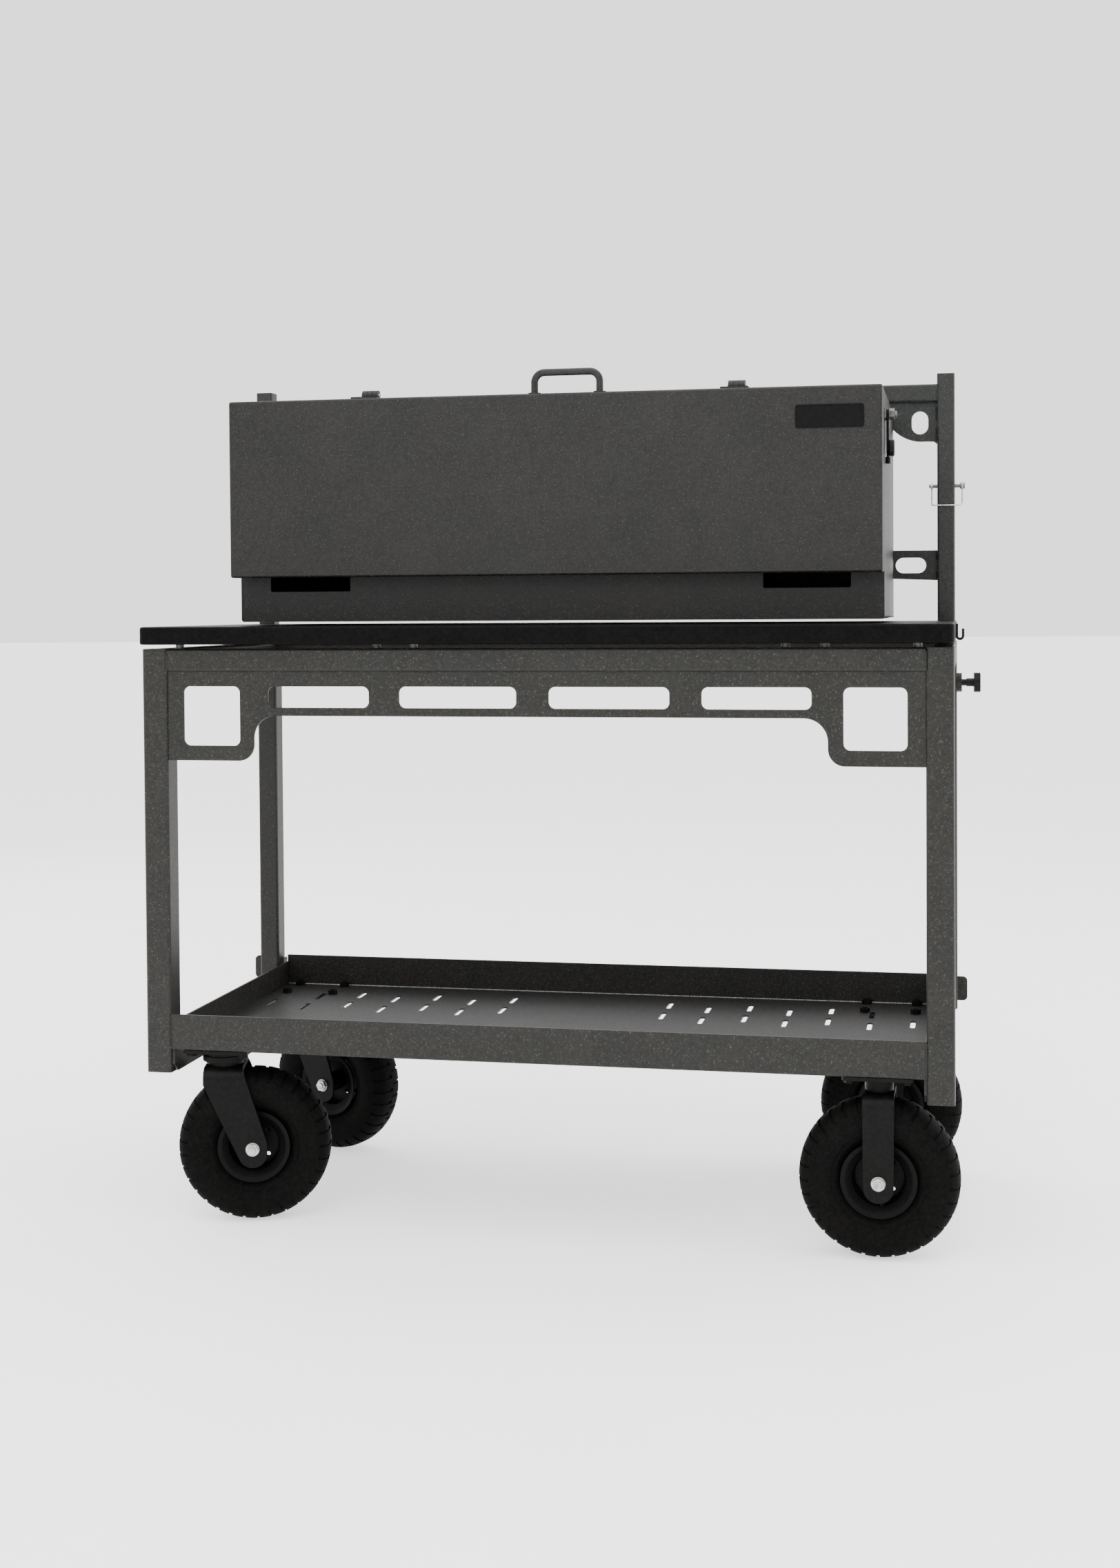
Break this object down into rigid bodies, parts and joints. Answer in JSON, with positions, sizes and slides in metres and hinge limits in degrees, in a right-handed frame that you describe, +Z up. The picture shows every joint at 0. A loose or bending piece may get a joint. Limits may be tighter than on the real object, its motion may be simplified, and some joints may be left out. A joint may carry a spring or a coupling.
{
  "type": "offset smoker",
  "caption": "Wheeled steel cart with a worktop and slotted tray, carrying a wide smoke chamber with a front flap on telescoping rear posts.",
  "frame": {"origin": "on the floor, midway between the outermost points left to right and front to back", "axes": "+Z up, front (flap side) towards -Y, +X to the viewer's right"},
  "size_m": [1.4398, 0.5774, 1.4679],
  "materials": {
    "frame_coat": "textured",
    "lift_coat": "textured",
    "chamber_coat": "textured",
    "worktop_black": "matte",
    "zinc_plate": "satin",
    "caster_steel": "satin",
    "bearing_steel": "polished",
    "tyre_rubber": "matte",
    "black_plastic": "matte",
    "handle_coat": "satin",
    "badge_metal": "satin",
    "grate_iron": "matte",
    "pan_steel": "satin"
  },
  "bodies": {
    "cart": {"front_leg_left": "frame_coat", "front_leg_right": "frame_coat", "rear_leg_left": "frame_coat", "rear_leg_right": "frame_coat", "front_rail": "frame_coat", "rear_rail": "frame_coat", "side_rails": "frame_coat", "apron_panel": "frame_coat", "tray_pan": "frame_coat", "tray_lips": "frame_coat", "end_plates": "frame_coat", "rear_tabs": "frame_coat", "tool_hook": "black_plastic", "clamp_bosses": "frame_coat", "worktop_slab": "worktop_black", "slab_fixings": "zinc_plate", "caster_plates": "caster_steel", "plate_bolts": "zinc_plate", "swivel_bearings": "caster_steel", "rigid_forks": "caster_steel", "rigid_axles": "zinc_plate"},
    "lift": {"lift_posts": "lift_coat", "cross_tube": "lift_coat", "back_plate": "lift_coat", "chamber_shell": "chamber_coat", "chamber_front_frame": "chamber_coat", "grate_rails": "grate_iron", "cooking_grates": "grate_iron", "ash_pan": "pan_steel", "chamber_hinge_leaves": "chamber_coat", "hinge_pins": "zinc_plate", "stay_bolt": "zinc_plate"},
    "flap": {"flap_panel": "chamber_coat", "flap_hinge_leaves": "chamber_coat", "flap_handle": "handle_coat", "maker_plate": "badge_metal"},
    "stay": {"stay_arm": "zinc_plate", "stay_knob": "black_plastic"},
    "lock_left": {"lock_pin_left": "zinc_plate", "pin_bail_left": "zinc_plate"},
    "lock_right": {"lock_pin_right": "zinc_plate", "pin_bail_right": "zinc_plate"},
    "knob_left": {"clamp_knob_left": "black_plastic"},
    "knob_right": {"clamp_knob_right": "black_plastic"},
    "swivel_front_left": {"fork_front_left": "caster_steel", "axle_front_left": "zinc_plate"},
    "swivel_rear_left": {"fork_rear_left": "caster_steel", "axle_rear_left": "zinc_plate"},
    "wheel_front_left": {"tyre_front_left": "tyre_rubber", "rim_front_left": "caster_steel", "bearings_front_left": "bearing_steel"},
    "wheel_rear_left": {"tyre_rear_left": "tyre_rubber", "rim_rear_left": "caster_steel", "bearings_rear_left": "bearing_steel"},
    "wheel_front_right": {"tyre_front_right": "tyre_rubber", "rim_front_right": "caster_steel", "bearings_front_right": "bearing_steel"},
    "wheel_rear_right": {"tyre_rear_right": "tyre_rubber", "rim_rear_right": "caster_steel", "bearings_rear_right": "bearing_steel"}
  },
  "joints": [
    {"name": "lift_slide", "type": "slide", "parent": "cart", "child": "lift", "axis": [0, 0, 1], "range_m": [0, 0.2]},
    {"name": "flap_hinge", "type": "hinge", "parent": "lift", "child": "flap", "pos_m": [0, -0.11525, 1.413], "axis": [-1, 0, 0], "range_deg": [0, 100]},
    {"name": "stay_swing", "type": "hinge", "parent": "lift", "child": "stay", "pos_m": [0.5669, -0.08375, 1.362], "axis": [-1, 0, 0], "range_deg": [0, 120]},
    {"name": "lock_left_swing", "type": "hinge", "parent": "lift", "child": "lock_left", "pos_m": [-0.65795, 0.2642, 1.2628], "axis": [-1, 0, 0], "range_deg": [0, 120]},
    {"name": "lock_right_swing", "type": "hinge", "parent": "lift", "child": "lock_right", "pos_m": [0.65795, 0.2642, 1.2628], "axis": [-1, 0, 0], "range_deg": [0, 120]},
    {"name": "knob_left_turn", "type": "hinge", "parent": "cart", "child": "knob_left", "pos_m": [-0.697, 0.2642, 0.9017], "axis": [-1, 0, 0], "range_deg": [0, 720]},
    {"name": "knob_right_turn", "type": "hinge", "parent": "cart", "child": "knob_right", "pos_m": [0.697, 0.2642, 0.9017], "axis": [1, 0, 0], "range_deg": [0, 720]},
    {"name": "swivel_front_left", "type": "hinge", "parent": "cart", "child": "swivel_front_left", "pos_m": [-0.5565, -0.22125, 0.267], "axis": [0, 0, 1], "continuous": true},
    {"name": "wheel_front_left_spin", "type": "hinge", "parent": "swivel_front_left", "child": "wheel_front_left", "pos_m": [-0.5082, -0.20831, 0.129], "axis": [-0.2588, 0.9659, 0], "continuous": true},
    {"name": "swivel_rear_left", "type": "hinge", "parent": "cart", "child": "swivel_rear_left", "pos_m": [-0.5565, 0.23075, 0.267], "axis": [0, 0, 1], "continuous": true},
    {"name": "wheel_rear_left_spin", "type": "hinge", "parent": "swivel_rear_left", "child": "wheel_rear_left", "pos_m": [-0.50869, 0.21613, 0.129], "axis": [0.2924, 0.9563, 0], "continuous": true},
    {"name": "wheel_front_right_spin", "type": "hinge", "parent": "cart", "child": "wheel_front_right", "pos_m": [0.5565, -0.22125, 0.129], "axis": [0, 1, 0], "continuous": true},
    {"name": "wheel_rear_right_spin", "type": "hinge", "parent": "cart", "child": "wheel_rear_right", "pos_m": [0.5565, 0.23075, 0.129], "axis": [0, 1, 0], "continuous": true}
  ]
}
